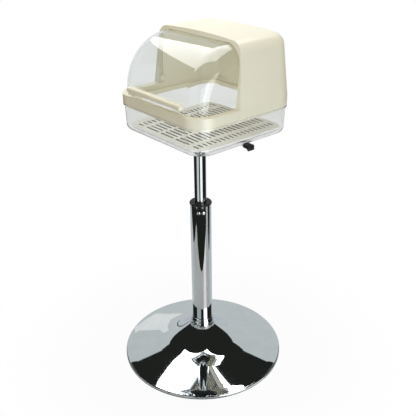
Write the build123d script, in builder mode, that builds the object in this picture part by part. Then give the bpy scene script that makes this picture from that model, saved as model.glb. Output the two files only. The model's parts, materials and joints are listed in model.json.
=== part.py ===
"""Small-pet dryer cabinet on a height-adjustable chrome pedestal.

Units are millimetres and degrees.  +Z is up, -Y is the front (the visor side)
and +X is the side of the release lever.  The origin is on the floor, on the
axis of the column.
"""

from build123d import *
from math import cos, radians, sin, sqrt, tan
import os

os.makedirs("parts", exist_ok=True)

# ---------------------------------------------------------------- clearances
rest_gap = 0.3          # between parts that rest on or pass each other
running_gap = 0.05      # radial, between a shaft and its bore
seat_gap = 0.1          # between parts that are assembled and stay together

# ---------------------------------------------------------------- pedestal
base_diameter = 400.0
base_top = 74.0         # floor to the flat top of the disc
base_sheet = 2.0
rim_height = 7.5
rim_round = 3.0
knee_radius = 82.0      # where the steep crown would meet the shallow skirt of the disc
knee_height = 32.3
knee_round = 140.0
rim_bend_inset = 13.0   # in from the edge, where the skirt starts to fall faster
rim_bend_height = 10.4
hub_flat_radius = 31.0
floor_ring_height = 2.0
floor_ring_width = 9.0

tube_radius = 25.0
tube_wall = 2.0
tube_top = 418.0
tube_bottom = 24.0

edge_break = 1.2
ballast_radius = 105.0
ballast_thickness = 12.0
flange_radius = 55.0
flange_thickness = 4.0
flange_bolt_ring = 40.0
flange_bolt_radius = 4.0
flange_bolt_count = 4
bolt_head_radius = 7.0
bolt_head_height = 5.5
sleeve_wall = 4.0
nut_height = 6.0
nut_radius = 28.5

escutcheon_radius = 31.3
escutcheon_step_in = 2.15
escutcheon_step_height = 9.0
escutcheon_levels = 3
escutcheon_wall = 1.5
step_round = 1.2

collar_radius = 26.3
collar_height = 4.5
collar_round = 2.0
bush_length = 100.0

# ---------------------------------------------------------------- gas lift
lift_radius = 14.0
lift_bore_radius = 11.5
lift_bottom = 228.0
lift_bore_top = 548.0
cone_bottom = 552.0
cone_top = 576.0
cone_top_radius = 13.2
rod_radius = 5.0
rod_top = 338.0
rod_bottom = 76.0
piston_thickness = 12.0
seal_groove = 1.5
rod_guide_length = 22.0
lift_floor = 84.0       # underside of the plate that carries the thrust bearing
lift_floor_thickness = 4.0
bearing_radius = 12.0
bearing_washer = 1.5
bearing_ball_radius = 1.5
bearing_ball_count = 10
bearing_pitch_radius = 9.0
rod_shoulder_radius = 8.0
rod_shoulder_height = 4.0
clip_radius = 8.5
clip_thickness = 1.5

# ---------------------------------------------------------------- cabinet
box_width = 285.0
box_depth = 275.0
front_reach = 122.5     # cabinet's front, ahead of the column axis
corner_radius = 46.0
tray_bottom = 598.0
tray_top = 659.0
roof_top = 814.5
roof_crown_radius = 1500.0
roof_round = 27.0
belt_height = 20.7
draft_angle = 6.0
shell_wall = 3.0

tray_wall = 2.5
tray_floor = 3.0
tray_rim_step = 3.0
tray_rim_height = 3.0
tray_draft = 2.0
tray_round = 12.0

web_thickness = 3.0     # flat web at the foot of the belt, over the tray rim
skirt_depth = 7.0
skirt_wall = 2.5
skirt_clearance = 0.6

lip_foot = -12.0        # front face of the hood, at the belt top
lip_lean = 5.0
lip_depth = 6.0

# ---------------------------------------------------------------- visor
pivot_height = 690.0
visor_front_inset = 8.5  # visor's front, behind the cabinet's
visor_side_inset = 13.5  # visor's side, in from the cabinet's
visor_corner = 38.0
visor_wall = 2.5
visor_back_angle = 3.0  # past the vertical, under the hood
visor_gap = 1.0         # between the visor and the hood's lip
pivot_radius = 4.0
pivot_boss_radius = 9.0
pivot_head_radius = 7.0
pivot_head = 2.0
ledge_width = 3.0       # how far the belt's ledge reaches in under the visor

handle_side_inset = 40.0  # handle's end, in from the visor's side
handle_height = 11.0
handle_reach = 12.0
handle_foot = 9.7       # above the visor's lower edge
handle_round = 4.0
handle_gap = 0.2
handle_screw_inset = 21.0
handle_screw_radius = 1.75
handle_screw_head = 3.4
handle_head_height = 2.0

# ---------------------------------------------------------------- floor grate
grate_side_inset = 19.5  # grate's sides, in from the cabinet's
grate_front_inset = 19.5
grate_back_inset = 13.5
grate_corner = 26.0
grate_thickness = 3.0
grate_top = 608.0
grate_skirt = 2.0
slot_margin = 14.0      # least bare strip before the first row of slots
slot_pitch = 11.8
slot_width = 5.4
slot_long = 44.0
slot_short = 19.0
slot_long_pitch = 51.0
slot_short_inset = 29.0  # middle of the short slots, in from the grate's side

# ---------------------------------------------------------------- seat bracket
plate_width = 160.0
plate_depth = 140.0
plate_corner = 40.0
bracket_sheet = 3.0
channel_half = 33.0
channel_depth = 28.0
channel_left = -42.0
channel_right = 45.0
cone_wall = 4.0
mount_span_x = 124.0
mount_span_y = 96.0
mount_screw_radius = 2.5
mount_head_radius = 4.6
mount_head_height = 2.6
mount_nut_radius = 4.6
mount_nut_height = 4.0

# ---------------------------------------------------------------- release lever
fulcrum_x = 30.0
fulcrum_height = 585.0
fulcrum_radius = 3.0
lever_thickness = 4.0
lever_width = 8.0
lever_hub_radius = 6.0
lever_hub_width = 14.0
lever_jog_start = 58.0
lever_jog_end = 86.0
lever_side = 36.0
lever_end = 124.0
grip_start = 106.0
grip_end = 129.0
grip_width = 17.0
grip_thickness = 6.4
grip_lip = 4.0          # how far its end turns down
grip_round = 1.2
pin_radius = 3.0
pin_length = 36.0

# ---------------------------------------------------------------- blower unit
unit_half = 60.0
unit_bottom = 663.5
unit_top = 765.0
unit_reach = 35.5       # unit's rear, behind the cabinet's back
unit_wall = 2.5
unit_round = 8.0
unit_edge_round = 2.4
duct_inset = 22.5       # duct's end, in from the cabinet's left side
duct_top = 697.0
fan_height = 722.0
fan_radius = 33.0
fan_blade_root = 26.0
fan_blade = 1.0
fan_width = 12.0
fan_rear_gap = 1.5
fan_blades = 28
fan_plate = 1.5
fan_hub_radius = 4.5
fan_shaft_radius = 1.5
motor_radius = 15.0
motor_length = 12.0
motor_plate_thickness = 2.0
scroll_radius = 37.0
scroll_wall = 1.6
filter_radius = 34.0
filter_thickness = 2.4
intake_slots = 9
intake_pitch = 6.8
intake_slot = 3.4
unit_screw_x = 52.0
unit_screw_inset = 8.5
unit_screw_radius = 1.6
unit_screw_head = 3.2
unit_screw_head_height = 3.0
unit_boss_radius = 4.6
boss_reach = 10.5       # where the screw bosses meet, behind the cabinet's back

outlet_inset = 8.0      # outlet, in from the duct's end
outlet_width = 32.0
outlet_low = 664.5
outlet_high = 676.5
outlet_lip = 2.0
outlet_plate = 1.5
mesh_columns = 10
mesh_rows = 3
mesh_bar = 1.2

heater_inset = 12.0     # heater, in from the duct's end
heater_width = 32.0
heater_rear_gap = 4.5   # heater to the unit's rear wall
heater_front_gap = 4.5  # heater to the cabinet's back
heater_frame_wall = 2.0
heater_fin_count = 11
heater_fin_pitch = 2.2
heater_fin = 0.8
cutout_width = 10.0
cutout_height = 8.0

control_height = 675.0
control_depth = 15.0
bezel_width = 2.0
bezel_thickness = 1.3
switch_x = 8.0
switch_width = 14.0
rocker_radius = 5.7
rocker_clearance = 0.4
rocker_tilt = 8.0
socket_x = 34.0
socket_width = 20.0
socket_height = 12.0
socket_wall = 1.8
socket_depth = 12.0
contact_radius = 1.2
contact_span = 8.6
knob_x = -24.0
knob_radius = 7.0
knob_length = 8.0
knob_ridge = 2.0
thermostat_radius = 8.0
thermostat_bush_radius = 4.0
knob_shaft_radius = 2.5

# ---------------------------------------------------------------- worked out
rim_bottom = floor_ring_height
base_radius = base_diameter / 2
column_bore = tube_radius + seat_gap
tube_inner = tube_radius - tube_wall
belt_bottom = tray_top + rest_gap
belt_top = belt_bottom + belt_height
front_y = -front_reach
back_y = box_depth - front_reach
box_offset = (front_y + back_y) / 2
wall_inner_back = back_y - shell_wall
visor_bottom = belt_top + rest_gap
bearing_bottom = lift_floor + lift_floor_thickness
bearing_ball_height = bearing_bottom + bearing_washer + bearing_ball_radius
bearing_top = bearing_ball_height + bearing_ball_radius + bearing_washer
plate_bottom = tray_bottom - bracket_sheet
channel_bottom = tray_bottom - channel_depth
lever_bottom = fulcrum_height - lever_thickness / 2
pin_top = lever_bottom - rest_gap
tray_inner_floor = tray_bottom + tray_floor
grate_bottom = grate_top - grate_thickness
pivot_axis = Axis((0, 0, pivot_height), (1, 0, 0))
lip_plane_slope = tan(radians(lip_lean))
visor_radius = front_reach - visor_front_inset
visor_half_width = box_width / 2 - visor_side_inset
handle_length = 2 * (visor_half_width - handle_side_inset)
handle_screw_span = handle_length - 2 * handle_screw_inset
grate_width = box_width - 2 * grate_side_inset
grate_depth = box_depth - grate_front_inset - grate_back_inset
grate_offset = box_offset + (grate_front_inset - grate_back_inset) / 2
slot_rows = 1 + int((grate_depth - 2 * slot_margin) / slot_pitch)
slot_short_place = grate_width / 2 - slot_short_inset
unit_rear = back_y + unit_reach
boss_split = back_y + boss_reach
duct_left = duct_inset - box_width / 2
outlet_left = duct_left + outlet_inset
heater_left = duct_left + heater_inset
heater_right = heater_left + heater_width
heater_front = back_y + heater_front_gap
heater_rear = unit_rear - unit_wall - heater_rear_gap


def lip_y(height):
    """Front face of the hood at a height: it leans back."""
    return lip_foot + (height - belt_top) * lip_plane_slope


def finish(name, node):
    """Label a finished piece and write it."""
    name.part.label = node
    export_step(name.part, f"parts/{node}.step")


def annulus(outer, inner):
    """Ring-shaped face in the open sketch."""
    Circle(outer)
    Circle(inner, mode=Mode.SUBTRACT)


def footprint(inset, mode=Mode.ADD):
    """Rounded outline of the cabinet in the open sketch, drawn in by inset."""
    with Locations((0, box_offset)):
        RectangleRounded(
            box_width - 2 * inset, box_depth - 2 * inset, corner_radius - inset, mode=mode
        )


def flare(lift):
    """Line of the disc from rim to hub, lifted by a distance, in the open line."""
    start = (base_radius - rim_round, rim_height + lift)
    end = (hub_flat_radius, base_top + lift)
    bend = (base_radius - rim_bend_inset, rim_bend_height + lift)
    FilletPolyline(start, bend, (knee_radius, knee_height + lift), end, radius=knee_round)
    return start, end


# ================================================================ pedestal
with BuildPart() as base_disc:
    with BuildSketch(Plane.XZ):
        with BuildLine():
            outer_start, outer_end = flare(0)
            inner_start, inner_end = flare(-base_sheet)
            RadiusArc(outer_start, (base_radius, rim_height - rim_round), rim_round)
            Polyline(
                (base_radius, rim_height - rim_round),
                (base_radius, rim_bottom),
                (base_radius - base_sheet, rim_bottom),
                (base_radius - base_sheet, rim_height - rim_round),
                inner_start,
            )
            Polyline(
                outer_end,
                (column_bore, base_top),
                (column_bore, base_top - base_sheet),
                inner_end,
            )
        make_face()
    revolve(axis=Axis.Z)
finish(base_disc, "base_disc")

with BuildPart() as floor_ring:
    with BuildSketch():
        annulus(base_radius - seat_gap, base_radius - floor_ring_width)
    extrude(amount=floor_ring_height)
    with BuildSketch(Plane.XY.offset(floor_ring_height)):
        annulus(base_radius - base_sheet - seat_gap, base_radius - floor_ring_width)
    extrude(amount=rim_height - rim_round - seat_gap - floor_ring_height)
finish(floor_ring, "floor_ring")

with BuildPart() as ballast_plate:
    with BuildSketch(Plane.XY.offset(tube_bottom - flange_thickness - ballast_thickness)):
        Circle(ballast_radius)
        Circle(rod_radius * 3, mode=Mode.SUBTRACT)
        with PolarLocations(flange_bolt_ring, flange_bolt_count):
            Circle(flange_bolt_radius + seat_gap, mode=Mode.SUBTRACT)
    extrude(amount=ballast_thickness)
    chamfer(ballast_plate.edges().filter_by(GeomType.CIRCLE).sort_by(SortBy.RADIUS)[-2:], edge_break)
finish(ballast_plate, "ballast_plate")

with BuildPart() as foot_flange:
    with BuildSketch(Plane.XY.offset(tube_bottom - flange_thickness)):
        annulus(flange_radius, rod_radius * 3)
        with PolarLocations(flange_bolt_ring, flange_bolt_count):
            Circle(flange_bolt_radius + seat_gap, mode=Mode.SUBTRACT)
    extrude(amount=flange_thickness)
finish(foot_flange, "foot_flange")

with BuildPart() as foot_bolts:
    with BuildSketch(Plane.XY.offset(tube_bottom - flange_thickness - ballast_thickness)):
        with PolarLocations(flange_bolt_ring, flange_bolt_count):
            Circle(flange_bolt_radius)
    extrude(amount=ballast_thickness + flange_thickness)
    with BuildSketch(Plane.XY.offset(tube_bottom)):
        with PolarLocations(flange_bolt_ring, flange_bolt_count):
            RegularPolygon(bolt_head_radius, 6)
    extrude(amount=bolt_head_height)
finish(foot_bolts, "foot_bolts")

with BuildPart() as hub_sleeve:
    with BuildSketch(Plane.XY.offset(tube_bottom)):
        annulus(tube_radius + sleeve_wall, column_bore)
    extrude(amount=base_top - base_sheet - tube_bottom)
finish(hub_sleeve, "hub_sleeve")

with BuildPart() as column_nut:
    with BuildSketch(Plane.XY.offset(base_top)):
        annulus(nut_radius, column_bore)
    extrude(amount=nut_height)
    chamfer(column_nut.faces().sort_by(Axis.Z)[-1].edges().sort_by(SortBy.LENGTH)[-1], edge_break)
finish(column_nut, "column_nut")

with BuildPart() as escutcheon:
    for level in range(escutcheon_levels):
        with BuildSketch(Plane.XY.offset(base_top)):
            Circle(escutcheon_radius - level * escutcheon_step_in)
        extrude(amount=(level + 1) * escutcheon_step_height)
    crests = escutcheon.faces().filter_by(Axis.Z).sort_by(Axis.Z)[1:]
    fillet([crest.edges().sort_by(SortBy.RADIUS)[-1] for crest in crests], step_round)
    with BuildSketch(Plane.XY.offset(base_top)):
        Circle(column_bore)
    extrude(amount=escutcheon_levels * escutcheon_step_height, mode=Mode.SUBTRACT)
    with BuildSketch(Plane.XY.offset(base_top)):
        Circle(escutcheon_radius - escutcheon_wall)
    extrude(amount=escutcheon_step_height - escutcheon_wall, mode=Mode.SUBTRACT)
finish(escutcheon, "escutcheon")

with BuildPart() as column_tube:
    with BuildSketch(Plane.XY.offset(tube_bottom)):
        annulus(tube_radius, tube_inner)
    extrude(amount=tube_top - tube_bottom)
finish(column_tube, "column_tube")

with BuildPart() as collar_cap:
    with BuildSketch(Plane.XY.offset(tube_top)):
        annulus(collar_radius, lift_radius + rest_gap)
    extrude(amount=collar_height)
    fillet(collar_cap.edges().filter_by(GeomType.CIRCLE).sort_by(SortBy.RADIUS)[-2:], collar_round)
finish(collar_cap, "collar_cap")

with BuildPart() as guide_bush:
    with BuildSketch(Plane.XY.offset(tube_top - bush_length)):
        annulus(tube_inner - running_gap, lift_radius + running_gap)
    extrude(amount=bush_length - seat_gap)
finish(guide_bush, "guide_bush")

with BuildPart() as bearing_seat:
    with BuildSketch(Plane.XY.offset(lift_floor)):
        annulus(tube_inner - running_gap, rod_radius + 2 * rest_gap)
    extrude(amount=lift_floor_thickness)
finish(bearing_seat, "bearing_seat")

with BuildPart() as bearing_lower_race:
    with BuildSketch(Plane.XY.offset(bearing_bottom)):
        annulus(bearing_radius, rod_radius + 2 * rest_gap)
    extrude(amount=bearing_washer - running_gap)
finish(bearing_lower_race, "bearing_lower_race")

with BuildPart() as bearing_balls:
    with Locations((0, 0, bearing_ball_height)):
        with PolarLocations(bearing_pitch_radius, bearing_ball_count):
            Sphere(bearing_ball_radius)
finish(bearing_balls, "bearing_balls")

# ================================================================ piston rod, which turns with the cabinet
with BuildPart() as bearing_upper_race:
    with BuildSketch(Plane.XY.offset(bearing_top - bearing_washer + running_gap)):
        annulus(bearing_radius, rod_radius)
    extrude(amount=bearing_washer - running_gap)
finish(bearing_upper_race, "bearing_upper_race")

with BuildPart() as piston_rod:
    with BuildSketch(Plane.XY.offset(rod_bottom)):
        Circle(rod_radius)
    extrude(amount=rod_top - rod_bottom)
    with BuildSketch(Plane.XY.offset(bearing_top)):
        Circle(rod_shoulder_radius)
    extrude(amount=rod_shoulder_height)
finish(piston_rod, "piston_rod")

with BuildPart() as piston_head:
    with BuildSketch(Plane.XY.offset(rod_top)):
        Circle(lift_bore_radius - running_gap)
    extrude(amount=piston_thickness)
    with BuildSketch(Plane.XY.offset(rod_top + piston_thickness / 3)):
        annulus(lift_bore_radius, lift_bore_radius - seal_groove)
    extrude(amount=piston_thickness / 3, mode=Mode.SUBTRACT)
finish(piston_head, "piston_head")

with BuildPart() as retaining_clip:
    with BuildSketch(Plane.XY.offset(lift_floor - rest_gap - clip_thickness)):
        annulus(clip_radius, rod_radius)
        with Locations((clip_radius / 2, 0)):
            Rectangle(clip_radius, rod_radius, mode=Mode.SUBTRACT)
    extrude(amount=clip_thickness)
finish(retaining_clip, "retaining_clip")

# ================================================================ sliding tube of the gas lift
with BuildPart() as pressure_tube:
    with BuildSketch(Plane.XZ):
        with BuildLine():
            Polyline(
                (lift_bore_radius, lift_bottom),
                (lift_radius, lift_bottom),
                (lift_radius, cone_bottom),
                (cone_top_radius, cone_top),
                (pin_radius + running_gap, cone_top),
                (pin_radius + running_gap, lift_bore_top),
                (lift_bore_radius, lift_bore_top),
                close=True,
            )
        make_face()
    revolve(axis=Axis.Z)
finish(pressure_tube, "pressure_tube")

with BuildPart() as rod_guide:
    with BuildSketch(Plane.XY.offset(lift_bottom)):
        annulus(lift_bore_radius, rod_radius + running_gap)
    extrude(amount=rod_guide_length)
finish(rod_guide, "rod_guide")

with BuildPart() as seat_bracket:
    with BuildSketch(Plane.XY.offset(plate_bottom)):
        RectangleRounded(plate_width, plate_depth, plate_corner)
        with GridLocations(mount_span_x, mount_span_y, 2, 2):
            Circle(mount_screw_radius, mode=Mode.SUBTRACT)
    extrude(amount=bracket_sheet)
    channel_centre = (channel_left + channel_right) / 2
    with BuildSketch(Plane.XY.offset(channel_bottom)):
        with Locations((channel_centre, 0)):
            Rectangle(channel_right - channel_left, 2 * channel_half)
    extrude(amount=plate_bottom - channel_bottom)
    with BuildSketch(Plane.XY.offset(channel_bottom + bracket_sheet)):
        with Locations((channel_centre, 0)):
            Rectangle(channel_right - channel_left, 2 * (channel_half - bracket_sheet))
    extrude(amount=plate_bottom - channel_bottom - bracket_sheet, mode=Mode.SUBTRACT)
    with BuildSketch(Plane.XY.offset(cone_bottom)):
        Circle(lift_radius + cone_wall)
    extrude(amount=channel_bottom - cone_bottom)
    with BuildSketch(Plane.XZ):
        with BuildLine():
            Polyline(
                (0, cone_bottom),
                (lift_radius + running_gap, cone_bottom),
                (cone_top_radius + running_gap, cone_top),
                (0, cone_top),
                close=True,
            )
        make_face()
    revolve(axis=Axis.Z, mode=Mode.SUBTRACT)
    with BuildSketch(Plane.XZ):
        with Locations((fulcrum_x, fulcrum_height)):
            Circle(fulcrum_radius)
    extrude(amount=channel_half, both=True, mode=Mode.SUBTRACT)
finish(seat_bracket, "seat_bracket")

with BuildPart() as fulcrum_pin:
    with BuildSketch(Plane.XZ):
        with Locations((fulcrum_x, fulcrum_height)):
            Circle(fulcrum_radius)
    extrude(amount=channel_half, both=True)
finish(fulcrum_pin, "fulcrum_pin")

with BuildPart() as mount_screws:
    with BuildSketch(Plane.XY.offset(plate_bottom - mount_nut_height)):
        with GridLocations(mount_span_x, mount_span_y, 2, 2):
            Circle(mount_screw_radius)
    extrude(amount=tray_inner_floor - plate_bottom + mount_nut_height)
    with BuildSketch(Plane.XY.offset(tray_inner_floor)):
        with GridLocations(mount_span_x, mount_span_y, 2, 2):
            Circle(mount_head_radius)
    extrude(amount=mount_head_height)
    fillet(mount_screws.faces().group_by(Axis.Z)[-1].edges(), mount_head_height / 3)
finish(mount_screws, "mount_screws")

with BuildPart() as mount_nuts:
    with BuildSketch(Plane.XY.offset(plate_bottom - mount_nut_height)):
        with GridLocations(mount_span_x, mount_span_y, 2, 2):
            RegularPolygon(mount_nut_radius, 6)
            Circle(mount_screw_radius, mode=Mode.SUBTRACT)
    extrude(amount=mount_nut_height)
finish(mount_nuts, "mount_nuts")

# ---------------------------------------------------------------- tray


def tray_form(inset, bottom, top, edge_round):
    """Drafted block with a rounded bottom edge, inset from the tray's outer face."""
    grown = (top - bottom) * tan(radians(tray_draft))
    shrink = tray_rim_step + inset + grown
    with BuildPart() as form:
        with BuildSketch(Plane.XY.offset(bottom)):
            footprint(shrink)
        extrude(amount=top - bottom, taper=-tray_draft)
        fillet(form.faces().sort_by(Axis.Z)[0].edges(), edge_round)
    return form.part


tray_outside = tray_form(0, tray_bottom, tray_top - tray_rim_height, tray_round)
tray_inside = tray_form(tray_wall, tray_inner_floor, tray_top, tray_round - tray_wall)

with BuildPart() as tray:
    add(tray_outside)
    with BuildSketch(Plane.XY.offset(tray_top - tray_rim_height)):
        footprint(0)
    extrude(amount=tray_rim_height)
    fillet(tray.faces().sort_by(Axis.Z)[-1].edges(), tray_rim_height / 4)
    add(tray_inside, mode=Mode.SUBTRACT)
    with BuildSketch(Plane.XY.offset(tray_bottom)):
        with GridLocations(mount_span_x, mount_span_y, 2, 2):
            Circle(mount_screw_radius)
    extrude(amount=tray_floor, mode=Mode.SUBTRACT)
finish(tray, "tray")

# ---------------------------------------------------------------- release lever
lever_outline = [
    (-lever_width / 2, -lever_width / 2),
    (lever_jog_start, -lever_width / 2),
    (lever_jog_end, lever_side - lever_width / 2),
    (lever_end, lever_side - lever_width / 2),
    (lever_end, lever_side + lever_width / 2),
    (lever_jog_end - lever_width / 4, lever_side + lever_width / 2),
    (lever_jog_start - lever_width / 4, lever_width / 2),
    (-lever_width / 2, lever_width / 2),
]
with BuildPart() as release_lever:
    with BuildSketch(Plane.XY.offset(lever_bottom)) as lever_face:
        with BuildLine():
            Polyline(*lever_outline, close=True)
        make_face()
        fillet(lever_face.vertices(), lever_width / 4)
    extrude(amount=lever_thickness)
    with BuildSketch(Plane.XZ):
        with Locations((fulcrum_x, fulcrum_height)):
            Circle(lever_hub_radius)
    extrude(amount=lever_hub_width / 2, both=True)
    with BuildSketch(Plane.XZ):
        with Locations((fulcrum_x, fulcrum_height)):
            Circle(fulcrum_radius + running_gap)
    extrude(amount=lever_hub_width, both=True, mode=Mode.SUBTRACT)
finish(release_lever, "release_lever")

grip_low = fulcrum_height - grip_thickness / 2
with BuildPart() as lever_grip:
    with BuildSketch(Plane.XZ.offset(-lever_side)) as grip_face:
        with BuildLine():
            Polyline(
                (grip_start, grip_low),
                (grip_start, grip_low + grip_thickness),
                (grip_end, grip_low + grip_thickness),
                (grip_end, grip_low - grip_lip),
                (grip_end - grip_lip, grip_low - grip_lip),
                (grip_end - 2 * grip_lip, grip_low),
                close=True,
            )
        make_face()
        fillet(grip_face.vertices(), grip_round)
    extrude(amount=grip_width, both=True)
    with BuildSketch(Plane.XY.offset(grip_low - grip_lip)) as grip_plan:
        with BuildLine():
            Polyline(
                (grip_start, lever_side - lever_width * 0.75),
                (grip_start + grip_width / 2, lever_side - grip_width / 2),
                (grip_end, lever_side - grip_width / 2),
                (grip_end, lever_side + grip_width / 2),
                (grip_start + grip_width / 2, lever_side + grip_width / 2),
                (grip_start, lever_side + lever_width * 0.75),
                close=True,
            )
        make_face()
        fillet(grip_plan.vertices(), grip_width / 6)
    extrude(amount=grip_thickness + grip_lip, mode=Mode.INTERSECT)
    with BuildSketch(Plane.XY.offset(lever_bottom)):
        with Locations(((lever_end + grip_start) / 2, lever_side)):
            Rectangle(lever_end - grip_start, lever_width)
    extrude(amount=lever_thickness, mode=Mode.SUBTRACT)
finish(lever_grip, "lever_grip")

with BuildPart() as release_pin:
    with BuildSketch(Plane.XY.offset(pin_top - pin_length)):
        Circle(pin_radius)
    extrude(amount=pin_length)
    fillet(release_pin.edges().sort_by(Axis.Z)[-1], pin_radius / 3)
finish(release_pin, "release_pin")

# ---------------------------------------------------------------- floor grate
with BuildPart() as floor_grate:
    with BuildSketch(Plane.XY.offset(grate_bottom)):
        with Locations((0, grate_offset)):
            RectangleRounded(grate_width, grate_depth, grate_corner)
    extrude(amount=grate_thickness)
    fillet(floor_grate.faces().sort_by(Axis.Z)[-1].edges(), grate_thickness / 3)
    with BuildSketch(Plane.XY.offset(tray_inner_floor + rest_gap)):
        with Locations((0, grate_offset)):
            RectangleRounded(
                grate_width - 2 * tray_round, grate_depth - 2 * tray_round, grate_corner - tray_round / 2
            )
            RectangleRounded(
                grate_width - 2 * tray_round - 2 * grate_skirt,
                grate_depth - 2 * tray_round - 2 * grate_skirt,
                grate_corner - tray_round / 2 - grate_skirt,
                mode=Mode.SUBTRACT,
            )
    extrude(amount=grate_bottom - tray_inner_floor - rest_gap)
    with BuildSketch(Plane.XY.offset(grate_bottom)):
        with Locations((0, grate_offset)):
            with GridLocations(slot_long_pitch, slot_pitch, 3, slot_rows):
                SlotOverall(slot_long, slot_width)
            with GridLocations(2 * slot_short_place, slot_pitch, 2, slot_rows):
                SlotOverall(slot_short, slot_width)
    extrude(amount=grate_thickness, mode=Mode.SUBTRACT)
finish(floor_grate, "floor_grate")

# ================================================================ visor


def visor_form(grow, back_angle, front_drop):
    """Turned block of the visor: its profile swept about the pivot axis."""
    half = visor_half_width + grow
    outer = visor_radius + grow
    corner = visor_corner + grow
    back = radians(back_angle)
    start = Plane(
        origin=(0, 0, pivot_height), x_dir=(1, 0, 0), z_dir=(0, -cos(back), sin(back))
    )
    with BuildPart() as form:
        with BuildSketch(start):
            with BuildLine():
                Polyline((-half, outer - corner), (-half, 0), (half, 0), (half, outer - corner))
                RadiusArc((half, outer - corner), (half - corner, outer), -corner)
                Line((half - corner, outer), (corner - half, outer))
                RadiusArc((corner - half, outer), (-half, outer - corner), -corner)
            make_face()
        revolve(axis=pivot_axis, revolution_arc=90 + back_angle)
        extrude(form.faces().sort_by(Axis.Z)[0], amount=front_drop)
    return form.part


visor_drop = pivot_height - visor_bottom
visor_outside = visor_form(0, visor_back_angle, visor_drop)
visor_inside = visor_form(-visor_wall, visor_back_angle + 2, visor_drop + 1)

with BuildPart() as visor:
    add(visor_outside)
    add(visor_inside, mode=Mode.SUBTRACT)
    for side in (-1, 1):
        boss_face = Plane(
            origin=(side * visor_half_width, 0, pivot_height), x_dir=(0, 1, 0), z_dir=(-side, 0, 0)
        )
        with BuildSketch(boss_face):
            Circle(pivot_boss_radius)
        extrude(amount=visor_wall)
        with BuildSketch(boss_face):
            Circle(pivot_radius + running_gap)
        extrude(amount=visor_wall, mode=Mode.SUBTRACT)
    with BuildSketch(Plane.XZ):
        with Locations((0, visor_bottom + handle_foot + handle_height / 2)):
            with GridLocations(handle_screw_span, 0, 2, 1):
                Circle(handle_screw_radius)
    extrude(amount=visor_radius + visor_wall, mode=Mode.SUBTRACT)
finish(visor, "visor")

handle_back = -visor_radius - handle_gap
handle_low = visor_bottom + handle_foot
with BuildPart() as visor_handle:
    with BuildSketch(Plane.YZ) as handle_face:
        with Locations((handle_back - handle_reach / 2, handle_low + handle_height / 2)):
            Rectangle(handle_reach, handle_height)
        fillet(handle_face.vertices().sort_by(Axis.X)[:2], handle_round)
    extrude(amount=handle_length / 2, both=True)
    end_rims = visor_handle.faces().filter_by(Axis.X).edges()
    fillet(
        end_rims.filter_by_position(Axis.Y, handle_back - handle_reach, handle_back - handle_gap),
        handle_round / 2,
    )
    with BuildSketch(Plane.XZ.offset(-handle_back)):
        with Locations((0, handle_low + handle_height / 2)):
            with GridLocations(handle_screw_span, 0, 2, 1):
                Circle(handle_screw_radius)
    extrude(amount=handle_reach * 0.55, mode=Mode.SUBTRACT)
finish(visor_handle, "visor_handle")

with BuildPart() as handle_screws:
    head_face = Plane.XZ.offset(visor_radius - visor_wall - rest_gap)
    with BuildSketch(head_face):
        with Locations((0, handle_low + handle_height / 2)):
            with GridLocations(handle_screw_span, 0, 2, 1):
                Circle(handle_screw_radius)
    extrude(amount=visor_wall + rest_gap + handle_gap + handle_reach * 0.5)
    with BuildSketch(head_face):
        with Locations((0, handle_low + handle_height / 2)):
            with GridLocations(handle_screw_span, 0, 2, 1):
                Circle(handle_screw_head)
    extrude(amount=-handle_head_height)
    fillet(handle_screws.faces().group_by(Axis.Y)[-1].edges(), handle_head_height / 3)
finish(handle_screws, "handle_screws")

# ================================================================ housing: belt and hood in one moulding
def hood_form(inset, top):
    """Drafted, round-edged block of the hood, inset from its outer face."""
    crown = roof_crown_radius - (roof_top - top)
    with BuildPart() as form:
        with BuildSketch(Plane.XY.offset(belt_top)):
            footprint(inset)
        extrude(amount=top - belt_top, taper=draft_angle)
        with BuildSketch(Plane.XZ.offset(-2 * box_depth)):
            with Locations((0, top - crown)):
                Circle(crown)
        extrude(amount=4 * box_depth, mode=Mode.INTERSECT)
        fillet(form.faces().sort_by(Axis.Z)[-1].edges(), roof_round - inset)
    return form.part


hood_outside = hood_form(0, roof_top)
hood_inside = hood_form(shell_wall, roof_top - shell_wall)
visor_sweep = visor_form(visor_gap, 90, visor_drop + rest_gap)


def lip_space(offset):
    """Everything in front of the hood's leaning front face, moved back by offset."""
    low, high = belt_top, roof_top + roof_round
    with BuildPart() as space:
        with BuildSketch(Plane.YZ):
            with BuildLine():
                Polyline(
                    (lip_y(low) + offset, low),
                    (lip_y(high) + offset, high),
                    (-box_depth, high),
                    (-box_depth, low),
                    close=True,
                )
            make_face()
        extrude(amount=box_width, both=True)
    return space.part


in_front_of_lip = lip_space(0)
in_front_of_shell = lip_space(lip_depth)

with BuildPart() as chamber_space:
    add(hood_inside)
    add(in_front_of_shell, mode=Mode.SUBTRACT)

with BuildPart() as belt_space:
    with BuildSketch(Plane.XY.offset(belt_bottom + web_thickness)):
        footprint(shell_wall)
    extrude(amount=belt_height - 2 * web_thickness)
    with BuildSketch(Plane.XY.offset(belt_top - web_thickness)):
        footprint(shell_wall)
        with Locations((0, lip_foot + lip_depth - box_depth)):
            Rectangle(box_width, 2 * box_depth, mode=Mode.SUBTRACT)
    extrude(amount=web_thickness)
    with BuildSketch(Plane.XY.offset(belt_top - web_thickness)):
        ledge_front = -visor_radius + ledge_width
        ledge_back = lip_foot + lip_depth + corner_radius
        with Locations((0, (ledge_front + ledge_back) / 2)):
            RectangleRounded(
                2 * (visor_half_width - ledge_width), ledge_back - ledge_front, visor_corner - ledge_width
            )
    extrude(amount=web_thickness)
    skirt_inner = tray_rim_step + tray_wall + skirt_clearance + skirt_wall
    with BuildSketch(Plane.XY.offset(belt_bottom - skirt_depth)):
        footprint(skirt_inner)
    extrude(amount=skirt_depth + web_thickness)

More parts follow.
